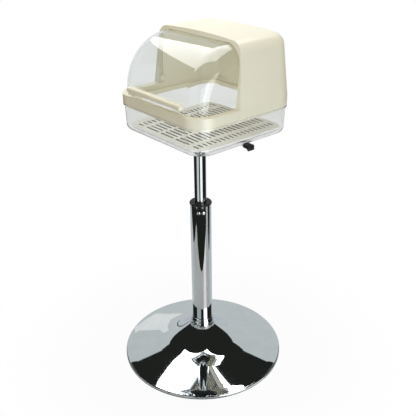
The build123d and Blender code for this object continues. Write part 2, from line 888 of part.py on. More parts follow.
outlet_height = outlet_high - outlet_low
outlet_place = (outlet_left + outlet_width / 2, (outlet_low + outlet_high) / 2)
unit_screw_heights = (unit_bottom + unit_screw_inset, unit_top - unit_screw_inset)
unit_screw_places = [(x, z) for x in (-unit_screw_x, unit_screw_x) for z in unit_screw_heights]

with BuildPart() as housing:
    with BuildSketch(Plane.XY.offset(belt_bottom)):
        footprint(0)
    extrude(amount=belt_height)
    add(hood_outside)
    add(in_front_of_lip, mode=Mode.SUBTRACT)
    with BuildSketch(Plane.XY.offset(belt_bottom - skirt_depth)):
        footprint(skirt_inner - skirt_wall)
    extrude(amount=skirt_depth)
    for x, z in unit_screw_places:
        with BuildSketch(Plane.XZ.offset(-boss_split)):
            with Locations((x, z)):
                Circle(unit_boss_radius)
        extrude(amount=boss_split - wall_inner_back + roof_round)
    add(chamber_space.part, mode=Mode.SUBTRACT)
    add(belt_space.part, mode=Mode.SUBTRACT)
    add(visor_sweep, mode=Mode.SUBTRACT)
    for side in (-1, 1):
        boss_face = Plane(
            origin=(side * (visor_half_width + rest_gap), 0, pivot_height),
            x_dir=(0, 1, 0), z_dir=(side, 0, 0),
        )
        with BuildSketch(boss_face):
            Circle(pivot_boss_radius)
        extrude(amount=box_width / 2 - shell_wall - visor_half_width)
        with BuildSketch(boss_face):
            Circle(pivot_radius)
        extrude(amount=box_width / 2 - 2 * shell_wall - visor_half_width, mode=Mode.SUBTRACT)
    with BuildSketch(Plane.XZ.offset(-back_y)):
        with Locations(outlet_place):
            Rectangle(outlet_width, outlet_height)
    extrude(amount=corner_radius / 2, mode=Mode.SUBTRACT)
    for x, z in unit_screw_places:
        with BuildSketch(Plane.XZ.offset(-boss_split)):
            with Locations((x, z)):
                Circle(unit_screw_radius)
        extrude(amount=boss_split - wall_inner_back - shell_wall / 2, mode=Mode.SUBTRACT)
finish(housing, "housing")

with BuildPart() as pivot_pins:
    for side in (-1, 1):
        inner_face = side * (visor_half_width - visor_wall - rest_gap)
        pin_face = Plane(origin=(inner_face, 0, pivot_height), x_dir=(0, 1, 0), z_dir=(side, 0, 0))
        with BuildSketch(pin_face):
            Circle(pivot_radius)
        extrude(amount=box_width / 2 - 2 * shell_wall - abs(inner_face))
        with BuildSketch(pin_face):
            Circle(pivot_head_radius)
        extrude(amount=-pivot_head)
finish(pivot_pins, "pivot_pins")

# ================================================================ blower unit on the back of the hood
with BuildPart() as outlet_grille:
    lip_width, lip_height = outlet_width + 2 * outlet_lip, outlet_height + 2 * outlet_lip
    with BuildSketch(Plane.XY.offset(outlet_low - outlet_lip)):
        footprint(shell_wall + seat_gap)
        footprint(shell_wall + seat_gap + outlet_plate, Mode.SUBTRACT)
        with Locations((outlet_place[0], back_y)):
            Rectangle(lip_width, 2 * corner_radius, mode=Mode.INTERSECT)
    extrude(amount=lip_height)
    with BuildSketch(Plane.XY.offset(outlet_low + seat_gap)):
        footprint(seat_gap)
        footprint(shell_wall + seat_gap, Mode.SUBTRACT)
        with Locations((outlet_place[0], back_y)):
            Rectangle(outlet_width - 2 * seat_gap, 2 * corner_radius, mode=Mode.INTERSECT)
    extrude(amount=outlet_height - 2 * seat_gap)
    mesh_pitch_x = (outlet_width - 2 * mesh_bar) / mesh_columns
    mesh_pitch_z = (outlet_height - 2 * mesh_bar) / mesh_rows
    with BuildSketch(Plane.XZ.offset(-back_y)):
        with Locations(outlet_place):
            with GridLocations(mesh_pitch_x, mesh_pitch_z, mesh_columns, mesh_rows):
                Rectangle(mesh_pitch_x - mesh_bar, mesh_pitch_z - mesh_bar)
    extrude(amount=corner_radius / 2, mode=Mode.SUBTRACT)
finish(outlet_grille, "outlet_grille")


def unit_outline(inset):
    """Outline of the blower unit in the open line: main box with a duct to one side."""
    Polyline(
        (duct_left + inset, unit_bottom + inset),
        (unit_half - inset, unit_bottom + inset),
        (unit_half - inset, unit_top - inset),
        (-unit_half + inset, unit_top - inset),
        (-unit_half + inset, duct_top - inset),
        (duct_left + inset, duct_top - inset),
        close=True,
    )


hood_cutter = hood_form(-seat_gap, roof_top + seat_gap)
with BuildPart() as back_of_box:
    with BuildSketch(Plane.XY.offset(tray_bottom)):
        footprint(-seat_gap)
    extrude(amount=belt_top - tray_bottom)
    add(hood_cutter)

unit_depth = unit_rear - back_y + roof_round
switch_opening = 2 * (rocker_radius + rocker_clearance)
control_places = {
    "knob": (knob_x, control_height),
    "switch": (switch_x, control_height),
    "socket": (socket_x, control_height),
}

with BuildPart() as unit_shell:
    with BuildSketch(Plane.XZ.offset(-unit_rear)) as unit_face:
        with BuildLine():
            unit_outline(0)
        make_face()
        fillet(unit_face.vertices(), unit_round)
    extrude(amount=unit_depth)
    fillet(unit_shell.faces().sort_by(Axis.Y)[-1].edges(), unit_edge_round)
    with BuildSketch(Plane.XZ.offset(-unit_rear + unit_wall)) as hollow_face:
        with BuildLine():
            unit_outline(unit_wall)
        make_face()
        fillet(hollow_face.vertices(), unit_round - unit_wall)
    extrude(amount=unit_depth, mode=Mode.SUBTRACT)
    for x, z in unit_screw_places:
        with BuildSketch(Plane.XZ.offset(-boss_split - rest_gap)):
            with Locations((x, z)):
                Circle(unit_boss_radius)
        extrude(amount=-(unit_rear - unit_wall - boss_split - rest_gap))
        with BuildSketch(Plane.XZ.offset(-unit_rear)):
            with Locations((x, z)):
                Circle(unit_screw_head + seat_gap)
        extrude(amount=unit_screw_head_height + rest_gap, mode=Mode.SUBTRACT)
        with BuildSketch(Plane.XZ.offset(-unit_rear)):
            with Locations((x, z)):
                Circle(unit_screw_radius)
        extrude(amount=unit_rear - boss_split, mode=Mode.SUBTRACT)
    for row in range(intake_slots):
        level = (row - (intake_slots - 1) / 2) * intake_pitch
        chord = 2 * sqrt((filter_radius - unit_wall) ** 2 - level ** 2)
        with BuildSketch(Plane.XZ.offset(-unit_rear)):
            with Locations((0, fan_height + level)):
                SlotOverall(chord, intake_slot)
        extrude(amount=unit_wall, mode=Mode.SUBTRACT)
    with BuildSketch(Plane.XZ.offset(-unit_rear)):
        with Locations(control_places["knob"]):
            Circle(thermostat_bush_radius)
        with Locations(control_places["switch"]):
            Rectangle(switch_width, switch_opening)
        with Locations(control_places["socket"]):
            RectangleRounded(socket_width, socket_height, socket_height / 4)
    extrude(amount=unit_wall, mode=Mode.SUBTRACT)
    add(back_of_box.part, mode=Mode.SUBTRACT)
finish(unit_shell, "unit_shell")

with BuildPart() as unit_screws:
    for x, z in unit_screw_places:
        head_seat = unit_rear - unit_screw_head_height - rest_gap
        with BuildSketch(Plane.XZ.offset(-head_seat)):
            with Locations((x, z)):
                Circle(unit_screw_radius)
        extrude(amount=head_seat - wall_inner_back - shell_wall / 2)
        with BuildSketch(Plane.XZ.offset(-head_seat)):
            with Locations((x, z)):
                Circle(unit_screw_head)
        extrude(amount=-unit_screw_head_height)
    fillet(unit_screws.faces().group_by(Axis.Y)[-1].edges(), unit_screw_head_height / 4)
finish(unit_screws, "unit_screws")

inner_rear = unit_rear - unit_wall
filter_front = inner_rear - seat_gap - filter_thickness
fan_rear = filter_front - fan_rear_gap
fan_plate_rear = fan_rear - fan_width
fan_plate_front = fan_plate_rear - fan_plate
motor_rear = fan_plate_front - 1.0
motor_front = motor_rear - motor_length
motor_plate_front = motor_front - motor_plate_thickness
fan_centre = (0, fan_height)

with BuildPart() as dust_filter:
    with BuildSketch(Plane.XZ.offset(-filter_front)):
        with Locations(fan_centre):
            Circle(filter_radius)
    extrude(amount=-filter_thickness)
finish(dust_filter, "dust_filter")

with BuildPart() as scroll:
    with BuildSketch(Plane.XZ.offset(-motor_front)):
        with Locations(fan_centre):
            annulus(scroll_radius + scroll_wall, scroll_radius)
        with Locations((-scroll_radius, duct_top - unit_wall - scroll_radius)):
            Rectangle(2 * scroll_radius, 2 * scroll_radius, mode=Mode.SUBTRACT)
    extrude(amount=-(inner_rear - seat_gap - motor_front))
finish(scroll, "scroll")

with BuildPart() as motor_plate:
    with BuildSketch(Plane.XZ.offset(-motor_plate_front)):
        with Locations(fan_centre):
            Circle(scroll_radius + scroll_wall)
    extrude(amount=-motor_plate_thickness)
finish(motor_plate, "motor_plate")

with BuildPart() as fan_motor:
    with BuildSketch(Plane.XZ.offset(-motor_front)):
        with Locations(fan_centre):
            Circle(motor_radius)
    extrude(amount=-motor_length)
    fillet(fan_motor.faces().sort_by(Axis.Y)[-1].edges(), 1.5)
    with BuildSketch(Plane.XZ.offset(-motor_rear)):
        with Locations(fan_centre):
            Circle(fan_shaft_radius)
    extrude(amount=-(fan_plate + fan_width / 2))
finish(fan_motor, "fan_motor")

with BuildPart() as impeller:
    with BuildSketch(Plane.XZ.offset(-fan_plate_front)):
        with Locations(fan_centre):
            Circle(fan_radius)
    extrude(amount=-fan_plate)
    with BuildSketch(Plane.XZ.offset(-fan_plate_front)):
        with Locations(fan_centre):
            Circle(fan_hub_radius)
    extrude(amount=-(fan_plate + fan_width * 0.6))
    blade_middle = (fan_radius + fan_blade_root) / 2
    with BuildSketch(Plane.XZ.offset(-fan_plate_rear)):
        with Locations(fan_centre):
            with PolarLocations(blade_middle, fan_blades):
                Rectangle(fan_radius - fan_blade_root, fan_blade, rotation=25)
    extrude(amount=-fan_width)
    with BuildSketch(Plane.XZ.offset(-fan_rear + fan_plate)):
        with Locations(fan_centre):
            annulus(fan_radius, fan_blade_root)
    extrude(amount=-fan_plate)
    with BuildSketch(Plane.XZ.offset(-fan_plate_front)):
        with Locations(fan_centre):
            Circle(fan_shaft_radius + running_gap)
    extrude(amount=-(fan_plate + fan_width), mode=Mode.SUBTRACT)
finish(impeller, "impeller")

heater_low = unit_bottom + unit_wall + seat_gap
heater_high = duct_top - unit_wall - seat_gap
heater_middle = ((heater_front + heater_rear) / 2, (heater_low + heater_high) / 2)
heater_inner_depth = heater_rear - heater_front - 2 * heater_frame_wall
with BuildPart() as heater_frame:
    with BuildSketch(Plane.YZ.offset(heater_left)):
        with Locations(heater_middle):
            Rectangle(heater_rear - heater_front, heater_high - heater_low)
            Rectangle(
                heater_inner_depth, heater_high - heater_low - 2 * heater_frame_wall, mode=Mode.SUBTRACT
            )
    extrude(amount=heater_width)
finish(heater_frame, "heater_frame")

with BuildPart() as heater_fins:
    with BuildSketch(Plane.YZ.offset(heater_left + heater_frame_wall)):
        with Locations(heater_middle):
            with GridLocations(0, heater_fin_pitch, 1, heater_fin_count):
                Rectangle(heater_inner_depth, heater_fin)
    extrude(amount=heater_width - 2 * heater_frame_wall)
finish(heater_fins, "heater_fins")

with BuildPart() as thermal_cutout:
    with BuildSketch(Plane.XZ.offset(-heater_rear)):
        with Locations(((heater_left + heater_right) / 2, heater_middle[1])):
            RectangleRounded(cutout_width, cutout_height, cutout_height / 4)
    extrude(amount=-(inner_rear - heater_rear - rest_gap))
finish(thermal_cutout, "thermal_cutout")

with BuildPart() as thermostat_body:
    with BuildSketch(Plane.XZ.offset(-inner_rear + control_depth)):
        with Locations(control_places["knob"]):
            Circle(thermostat_radius)
    extrude(amount=-control_depth)
    with BuildSketch(Plane.XZ.offset(-inner_rear)):
        with Locations(control_places["knob"]):
            Circle(thermostat_bush_radius)
    extrude(amount=-unit_wall)
    with BuildSketch(Plane.XZ.offset(-unit_rear)):
        with Locations(control_places["knob"]):
            Circle(knob_shaft_radius + running_gap)
    extrude(amount=control_depth, mode=Mode.SUBTRACT)
finish(thermostat_body, "thermostat_body")

with BuildPart() as temperature_knob:
    with BuildSketch(Plane.XZ.offset(-unit_rear - rest_gap)):
        with Locations(control_places["knob"]):
            Circle(knob_radius)
    extrude(amount=-knob_length)
    fillet(temperature_knob.faces().sort_by(Axis.Y)[-1].edges(), knob_radius / 5)
    with BuildSketch(Plane.XZ.offset(-unit_rear - knob_length / 2)):
        with Locations(control_places["knob"]):
            Rectangle(2 * knob_radius, 2 * knob_radius)
            Rectangle(knob_ridge, 2 * knob_radius, mode=Mode.SUBTRACT)
            Circle(knob_radius * 0.8, mode=Mode.SUBTRACT)
    extrude(amount=-knob_length, mode=Mode.SUBTRACT)
    with BuildSketch(Plane.XZ.offset(-unit_rear - rest_gap)):
        with Locations(control_places["knob"]):
            Circle(knob_shaft_radius)
    extrude(amount=control_depth - rest_gap)
finish(temperature_knob, "temperature_knob")

with BuildPart() as switch_frame:
    with BuildSketch(Plane.XZ.offset(-unit_rear)):
        with Locations(control_places["switch"]):
            Rectangle(switch_width + 2 * bezel_width, switch_opening + 2 * bezel_width)
    extrude(amount=-bezel_thickness)
    with BuildSketch(Plane.XZ.offset(-unit_rear)):
        with Locations(control_places["switch"]):
            Rectangle(switch_width - 2 * seat_gap, switch_opening - 2 * seat_gap)
    extrude(amount=control_depth)
    with BuildSketch(Plane.XZ.offset(-unit_rear - bezel_thickness)):
        with Locations(control_places["switch"]):
            Rectangle(switch_width - 2 * bezel_thickness, 2 * (rocker_radius + seat_gap))
    extrude(amount=control_depth, mode=Mode.SUBTRACT)
finish(switch_frame, "switch_frame")

tilt = radians(rocker_tilt)
rocker_centre = unit_rear - rocker_radius / 2
rocker_length = switch_width - 2 * bezel_thickness - 2 * rest_gap
rocker_plane = Plane(
    origin=(switch_x - rocker_length / 2, rocker_centre, control_height),
    x_dir=(0, cos(tilt), -sin(tilt)),
    z_dir=(1, 0, 0),
)
with BuildPart() as rocker_switch:
    with BuildSketch(rocker_plane):
        Circle(rocker_radius - rest_gap)
        with BuildLine():
            dish = rocker_radius * 0.62
            Polyline(
                (dish, 0),
                (dish + rocker_radius * sin(tilt), rocker_radius),
                (2 * rocker_radius, rocker_radius),
                (2 * rocker_radius, -rocker_radius),
                (dish + rocker_radius * sin(tilt), -rocker_radius),
                close=True,
            )
        make_face(mode=Mode.SUBTRACT)
    extrude(amount=rocker_length)
finish(rocker_switch, "rocker_switch")

with BuildPart() as power_inlet:
    with BuildSketch(Plane.XZ.offset(-unit_rear)):
        with Locations(control_places["socket"]):
            RectangleRounded(
                socket_width + 2 * bezel_width, socket_height + 2 * bezel_width, socket_height / 3
            )
    extrude(amount=-bezel_thickness)
    with BuildSketch(Plane.XZ.offset(-unit_rear)):
        with Locations(control_places["socket"]):
            RectangleRounded(
                socket_width - 2 * seat_gap, socket_height - 2 * seat_gap, socket_height / 4
            )
    extrude(amount=control_depth)
    with BuildSketch(Plane.XZ.offset(-unit_rear - bezel_thickness)):
        with Locations(control_places["socket"]):
            SlotOverall(socket_width - 2 * socket_wall, socket_height - 2 * socket_wall)
    extrude(amount=socket_depth + bezel_thickness, mode=Mode.SUBTRACT)
finish(power_inlet, "power_inlet")

with BuildPart() as inlet_contacts:
    with BuildSketch(Plane.XZ.offset(-unit_rear + socket_depth)):
        with Locations(control_places["socket"]):
            with GridLocations(contact_span, 0, 2, 1):
                Circle(contact_radius)
    extrude(amount=-(socket_depth - bezel_width))
finish(inlet_contacts, "inlet_contacts")
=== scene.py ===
"""Finishes, fine detail, studio and camera for the pedestal pet dryer.

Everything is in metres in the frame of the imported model:
+Z up, -Y the visor side, +X the lever side.
"""

import json
from math import cos, pi, radians, sin

import bmesh
import bpy
from mathutils import Matrix, Vector


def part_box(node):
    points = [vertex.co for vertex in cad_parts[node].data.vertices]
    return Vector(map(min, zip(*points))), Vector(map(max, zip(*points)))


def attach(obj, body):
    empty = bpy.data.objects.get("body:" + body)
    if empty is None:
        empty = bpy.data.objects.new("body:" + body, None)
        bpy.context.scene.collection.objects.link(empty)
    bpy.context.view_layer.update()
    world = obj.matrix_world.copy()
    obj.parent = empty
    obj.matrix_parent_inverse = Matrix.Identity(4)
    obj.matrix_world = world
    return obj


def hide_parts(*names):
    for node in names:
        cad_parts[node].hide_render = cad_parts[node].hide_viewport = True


MM = 0.001  # a millimetre, in metres
NOISE_LOW, NOISE_HIGH = 0.3, 0.7  # the middle of a noise's values, where nearly all of them lie
COLOUR_A, COLOUR_B, COLOUR_RESULT = 6, 7, 2  # a Mix node's colour inputs, and its colour output

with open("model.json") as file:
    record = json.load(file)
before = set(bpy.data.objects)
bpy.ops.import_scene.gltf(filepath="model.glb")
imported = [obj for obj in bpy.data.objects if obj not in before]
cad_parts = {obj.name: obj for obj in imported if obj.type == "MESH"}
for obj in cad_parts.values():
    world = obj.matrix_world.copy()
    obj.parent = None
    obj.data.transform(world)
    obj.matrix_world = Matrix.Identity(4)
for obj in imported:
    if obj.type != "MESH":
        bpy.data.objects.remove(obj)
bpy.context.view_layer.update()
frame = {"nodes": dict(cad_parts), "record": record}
nodes = frame["nodes"]


# ================================================================ small helpers
def linear(code):
    """An sRGB hex colour as linear red, green, blue and alpha."""
    channels = [int(code[i : i + 2], 16) / 255 for i in (1, 3, 5)]
    return [c / 12.92 if c <= 0.04045 else ((c + 0.055) / 1.055) ** 2.4 for c in channels] + [1.0]


def add_node(tree, kind, inputs=None, **settings):
    """Adds a node; an input's value is a number, a colour or another node's output."""
    node = tree.nodes.new(kind)
    for name, value in settings.items():
        setattr(node, name, value)
    for name, value in (inputs or {}).items():
        socket = node.inputs[name]
        if isinstance(value, bpy.types.NodeSocket):
            tree.links.new(value, socket)
        else:
            socket.default_value = value
    return node


def new_material(name):
    """An empty node material and its tree."""
    material = bpy.data.materials.new(name)
    material.use_nodes = True
    material.node_tree.nodes.clear()
    return material, material.node_tree


def any_ray(tree, *kinds):
    """1 for a ray of any of the given kinds, else 0."""
    path = add_node(tree, "ShaderNodeLightPath").outputs
    value = path[kinds[0]]
    for kind in kinds[1:]:
        either = {0: value, 1: path[kind]}
        value = add_node(tree, "ShaderNodeMath", either, operation="MAXIMUM").outputs["Value"]
    return value


def surface_place(tree):
    """Object coordinates, which lie in the model's frame in metres."""
    return add_node(tree, "ShaderNodeTexCoord").outputs["Object"]


def grain(tree, size, detail=3.0, roughness=0.55, place=None):
    """Noise whose grains are about a size apart, as a value round 0.5."""
    vector = place or surface_place(tree)
    return add_node(
        tree,
        "ShaderNodeTexNoise",
        {"Vector": vector, "Scale": 1 / size, "Detail": detail, "Roughness": roughness},
    ).outputs["Fac"]


def spread(tree, value, low, high):
    """Maps noise round 0.5 onto a range."""
    return add_node(
        tree,
        "ShaderNodeMapRange",
        {
            "Value": value, "From Min": NOISE_LOW, "From Max": NOISE_HIGH,
            "To Min": low, "To Max": high,
        },
    ).outputs["Result"]


def tint(tree, value, dark, light):
    """Colour between two hex colours, by a value round 0.5."""
    ramp = add_node(tree, "ShaderNodeValToRGB", {"Fac": value})
    places = zip(ramp.color_ramp.elements, (NOISE_LOW, NOISE_HIGH), (dark, light))
    for element, position, code in places:
        element.position = position
        element.color = linear(code)
    return ramp.outputs["Color"]


def relief(tree, height, depth):
    """Normal of a fine relief of a given depth in metres."""
    return add_node(
        tree, "ShaderNodeBump", {"Height": height, "Distance": depth, "Strength": 1.0}
    ).outputs["Normal"]


def paint_slot_shade(tree, plain, shade):
    """A plain colour with painted shade down the slots of the chamber's grate.

    The painted shade grows between two depths below the top face. The rim, which has no slots,
    stays plain.
    """
    first_depth, full_depth, rim = 0.5 * MM, 1.6 * MM, 6 * MM
    low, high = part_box("floor_grate")
    place = add_node(tree, "ShaderNodeSeparateXYZ", {"Vector": surface_place(tree)}).outputs
    amount = add_node(
        tree,
        "ShaderNodeMapRange",
        {
            "Value": place["Z"],
            "From Min": high[2] - full_depth, "From Max": high[2] - first_depth,
            "To Min": 1.0, "To Max": 0.0,
        },
    ).outputs["Result"]
    for axis, least, most in zip("XY", low, high):
        from_middle = {0: place[axis], 1: (least + most) / 2}
        off = add_node(tree, "ShaderNodeMath", from_middle, operation="SUBTRACT").outputs["Value"]
        away = add_node(tree, "ShaderNodeMath", {0: off}, operation="ABSOLUTE").outputs["Value"]
        within = {0: away, 1: (most - least) / 2 - rim}
        field = add_node(tree, "ShaderNodeMath", within, operation="LESS_THAN").outputs["Value"]
        both = {0: amount, 1: field}
        amount = add_node(tree, "ShaderNodeMath", both, operation="MULTIPLY").outputs["Value"]
    blend = {0: amount, COLOUR_A: plain, COLOUR_B: linear(shade)}
    return add_node(tree, "ShaderNodeMix", blend, data_type="RGBA").outputs[COLOUR_RESULT]


# ================================================================ finishes
def moulded_abs(name, dark, light, gloss, painted_slot_shade=None):
    """Injection-moulded ABS, lightly polished tool: a soft sheen over a faint orange-peel skin."""
    material, tree = new_material(name)
    broad = grain(tree, 90 * MM, detail=2.0)
    skin = grain(tree, 2.5 * MM, detail=2.0)
    colour = tint(tree, broad, dark, light)
    # Painted shade: the grate's slots are darkened below its top face, where little light would
    # reach.
    if painted_slot_shade:
        colour = paint_slot_shade(tree, colour, painted_slot_shade)
    shader = add_node(
        tree,
        "ShaderNodeBsdfPrincipled",
        {
            "Base Color": colour,
            "Roughness": spread(tree, skin, gloss - 0.04, gloss + 0.05),
            "IOR": 1.53,
            "Normal": relief(tree, skin, 0.012 * MM),
        },
    )
    add_node(tree, "ShaderNodeOutputMaterial", {"Surface": shader.outputs["BSDF"]})
    return material


def clear_styrene(name, wall_tint, passed):
    """Clear polished polystyrene: glassy, faintly cool, with a sharp reflection and grey edges.

    Lamp light passes straight through in a tint of its own, so the piece throws no dark shadow.
    """
    material, tree = new_material(name)
    ripple = grain(tree, 60 * MM, detail=1.0)
    glass = add_node(
        tree,
        "ShaderNodeBsdfPrincipled",
        {
            "Base Color": linear(wall_tint),
            "Roughness": 0.0,
            "IOR": 1.5,
            "Transmission Weight": 1.0,
            "Normal": relief(tree, ripple, 0.02 * MM),
        },
    )
    see_through = add_node(tree, "ShaderNodeBsdfTransparent", {"Color": linear(passed)})
    mix = add_node(
        tree,
        "ShaderNodeMixShader",
        {
            0: any_ray(tree, "Is Shadow Ray"),
            1: glass.outputs["BSDF"],
            2: see_through.outputs["BSDF"],
        },
    )
    add_node(tree, "ShaderNodeOutputMaterial", {"Surface": mix.outputs["Shader"]})
    return material


def bright_chrome(name):
    """Decorative chrome on polished steel: a near mirror, a little cool, with faint wipe marks."""
    material, tree = new_material(name)
    wipes = grain(tree, 35 * MM, detail=4.0, roughness=0.7)
    shader = add_node(
        tree,
        "ShaderNodeBsdfPrincipled",
        {
            "Base Color": tint(tree, wipes, "#DCE1E3", "#E4E8EA"),
            "Metallic": 1.0,
            "Roughness": spread(tree, wipes, 0.015, 0.05),
        },
    )
    add_node(tree, "ShaderNodeOutputMaterial", {"Surface": shader.outputs["BSDF"]})
    return material


def plated_steel(name, dark, light, polish, lay=(1.0, 1.0, 1.0)):
    """Plated, ground or drawn metal: a fine directional lay blurs its reflections."""
    material, tree = new_material(name)
    stretched = add_node(
        tree, "ShaderNodeMapping", {"Vector": surface_place(tree), "Scale": lay}
    ).outputs["Vector"]
    lines = grain(tree, 1.2 * MM, detail=4.0, roughness=0.65, place=stretched)
    shader = add_node(
        tree,
        "ShaderNodeBsdfPrincipled",
        {
            "Base Color": tint(tree, lines, dark, light),
            "Metallic": 1.0,
            "Roughness": spread(tree, lines, polish - 0.05, polish + 0.08),
            "Normal": relief(tree, lines, 0.01 * MM),
        },
    )
    add_node(tree, "ShaderNodeOutputMaterial", {"Surface": shader.outputs["BSDF"]})
    return material


def powder_coat(name, dark, light):
    """Baked powder paint: an even satin film with a fine pebbled skin."""
    material, tree = new_material(name)
    pebbles = grain(tree, 1.6 * MM, detail=2.0)
    shader = add_node(
        tree,
        "ShaderNodeBsdfPrincipled",
        {
            "Base Color": tint(tree, pebbles, dark, light),
            "Roughness": spread(tree, pebbles, 0.38, 0.5),
            "Normal": relief(tree, pebbles, 0.05 * MM),
        },
    )
    add_node(tree, "ShaderNodeOutputMaterial", {"Surface": shader.outputs["BSDF"]})
    return material


def matt_moulding(name, dark, light, dullness, skin_size=0.9 * MM):
    """An even, dull skin, as of spark-textured nylon; its grain is drawn coarse enough to show."""
    material, tree = new_material(name)
    skin = grain(tree, skin_size, detail=3.0)
    shader = add_node(
        tree,
        "ShaderNodeBsdfPrincipled",
        {
            "Base Color": tint(tree, skin, dark, light),
            "Roughness": spread(tree, skin, dullness - 0.06, dullness + 0.08),
            "IOR": 1.5,
            "Normal": relief(tree, skin, 0.05 * MM),
        },
    )
    add_node(tree, "ShaderNodeOutputMaterial", {"Surface": shader.outputs["BSDF"]})
    return material


# Covers: warm cream with soft, broad highlights.
cream_abs = moulded_abs("moulded_cream_abs", "#F0EAD2", "#F3EED7", 0.32)
# Chamber floor: nearly white, a little duller, with painted shade down its slots.
grate_abs = moulded_abs("moulded_ivory_grate_abs", "#F8F8F5", "#FBFBF8", 0.36, painted_slot_shade="#4A453B")
# Visor: clear as a lens, and the lamp light that it passes is a little warm.
visor_styrene = clear_styrene("clear_visor_styrene", "#F1F3F2", "#FFFBF5")
# Tray: clear and neutral.
tray_styrene = clear_styrene("clear_tray_styrene", "#EFF0EF", "#FFFFFF")
# Base, column and lever: they mirror the room.
chrome = bright_chrome("chrome_plated_steel")
# Screws, nuts, flange and motor: pale grey with blurred glints.
zinc = plated_steel("zinc_plated_steel", "#B9BDC0", "#D2D5D6", 0.3)
# Races, balls, rods and pins: brighter, with grinding lines round them.
ground_steel = plated_steel("ground_bearing_steel", "#B4B7BA", "#CDD0D2", 0.18, (1, 1, 12))
# Heater frame and fins: pale, softly brushed sheet.
bare_aluminium = plated_steel("bare_aluminium_sheet", "#C9CBCC", "#DADCDD", 0.34, (12, 1, 1))
# Contacts of the mains inlet: warm yellow metal.
contact_brass = plated_steel("drawn_brass", "#B08B47", "#CDA65A", 0.25)
# Seat bracket: satin black with fine pebbles.
black_paint = powder_coat("black_powder_coat", "#161617", "#222223")
# Ballast under the base: a thick, uneven black coat.
ballast_iron = matt_moulding("dipped_black_iron", "#1B1B1C", "#2A2A2B", 0.6, 3 * MM)
# Lever grip, collar, switch and impeller: deep black with a low sheen.
black_nylon = matt_moulding("black_glass_filled_nylon", "#0E0E0F", "#1A1A1B", 0.42)
# Ring under the base: black with next to no sheen.
black_rubber = matt_moulding("moulded_black_rubber", "#141415", "#1D1D1E", 0.68)
# Fan scroll and motor plate: a plain mid grey.
grey_abs = matt_moulding("moulded_grey_abs", "#6F7173", "#7C7E80", 0.5)
# Dust filter: rough dark grey, mottled by its cells.
filter_foam = matt_moulding("open_cell_grey_foam", "#26272A", "#4A4B4E", 0.9, 1.6 * MM)

slot_finish = {
    "chrome": chrome,
    "lever_steel": chrome,
    "floor_rubber": black_rubber,
    "ballast_iron": ballast_iron,
    "zinc_steel": zinc,
    "bearing_steel": ground_steel,
    "black_plastic": black_nylon,
    "bracket_paint": black_paint,
    "clear_plastic": tray_styrene,
    "cream_plastic": cream_abs,
    "ivory_plastic": grate_abs,
    "grey_plastic": grey_abs,
    "heater_alloy": bare_aluminium,
    "filter_foam": filter_foam,
    "contact_brass": contact_brass,
}
# The visor's tint is its own, and the pivot pins show as cream caps on the housing.
own_finish = {"visor": visor_styrene, "pivot_pins": cream_abs}
for entry in frame["record"]["subparts"]:
    finish = own_finish.get(entry["node"], slot_finish[entry["material_slot"]])
    for slot in nodes[entry["node"]].material_slots:
        slot.material = finish


# ================================================================ fine detail
def finish_piece(mesh, name, material, body):
    """Links a finished mesh as a piece of the object that moves with a body."""
    mesh.name = name
    mesh.materials.clear()
    mesh.materials.append(material)
    piece = bpy.data.objects.new(name, mesh)
    bpy.context.scene.collection.objects.link(piece)
    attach(piece, body)
    return piece


def new_tree(name, kinds):
    """A geometry tree with named inputs, and what they give."""
    tree = bpy.data.node_groups.new(name, "GeometryNodeTree")
    for label, kind in kinds.items():
        tree.interface.new_socket(label, in_out="INPUT", socket_type=kind)
    tree.interface.new_socket("Geometry", in_out="OUTPUT", socket_type="NodeSocketGeometry")
    return tree, add_node(tree, "NodeGroupInput").outputs


def close_tree(tree, given, points, rotation):
    """Sets the piece on every point, and ends in one plain mesh with its finish."""
    item = add_node(tree, "GeometryNodeObjectInfo", {"Object": given["Piece"]})
    copies = add_node(
        tree,
        "GeometryNodeInstanceOnPoints",
        {"Points": points, "Instance": item.outputs["Geometry"], "Rotation": rotation},
    )
    plain = add_node(
        tree, "GeometryNodeRealizeInstances", {"Geometry": copies.outputs["Instances"]}
    )
    done = add_node(
        tree,
        "GeometryNodeSetMaterial",
        {"Geometry": plain.outputs["Geometry"], "Material": given["Finish"]},
    )
    add_node(tree, "NodeGroupOutput", {"Geometry": done.outputs["Geometry"]})
    return tree


def rectangle_tree():
    """Copies of a piece at the corners of an upright rectangle, in columns and rows."""
    tree, given = new_tree("rectangle_of_pieces", {
        "Piece": "NodeSocketObject", "Finish": "NodeSocketMaterial",
        "Centre": "NodeSocketVector", "Width": "NodeSocketFloat", "Height": "NodeSocketFloat",
        "Columns": "NodeSocketInt", "Rows": "NodeSocketInt",
    })
    grid = add_node(tree, "GeometryNodeMeshGrid", {
        "Size X": given["Width"], "Size Y": given["Height"],
        "Vertices X": given["Columns"], "Vertices Y": given["Rows"],
    })
    quarter_turn = (pi / 2, 0, 0)
    upright = add_node(tree, "GeometryNodeTransform", {
        "Geometry": grid.outputs["Mesh"], "Translation": given["Centre"], "Rotation": quarter_turn,
    })
    level = add_node(tree, "FunctionNodeAxisAngleToRotation", {"Angle": 0.0})
    return close_tree(tree, given, upright.outputs["Geometry"], level.outputs["Rotation"])


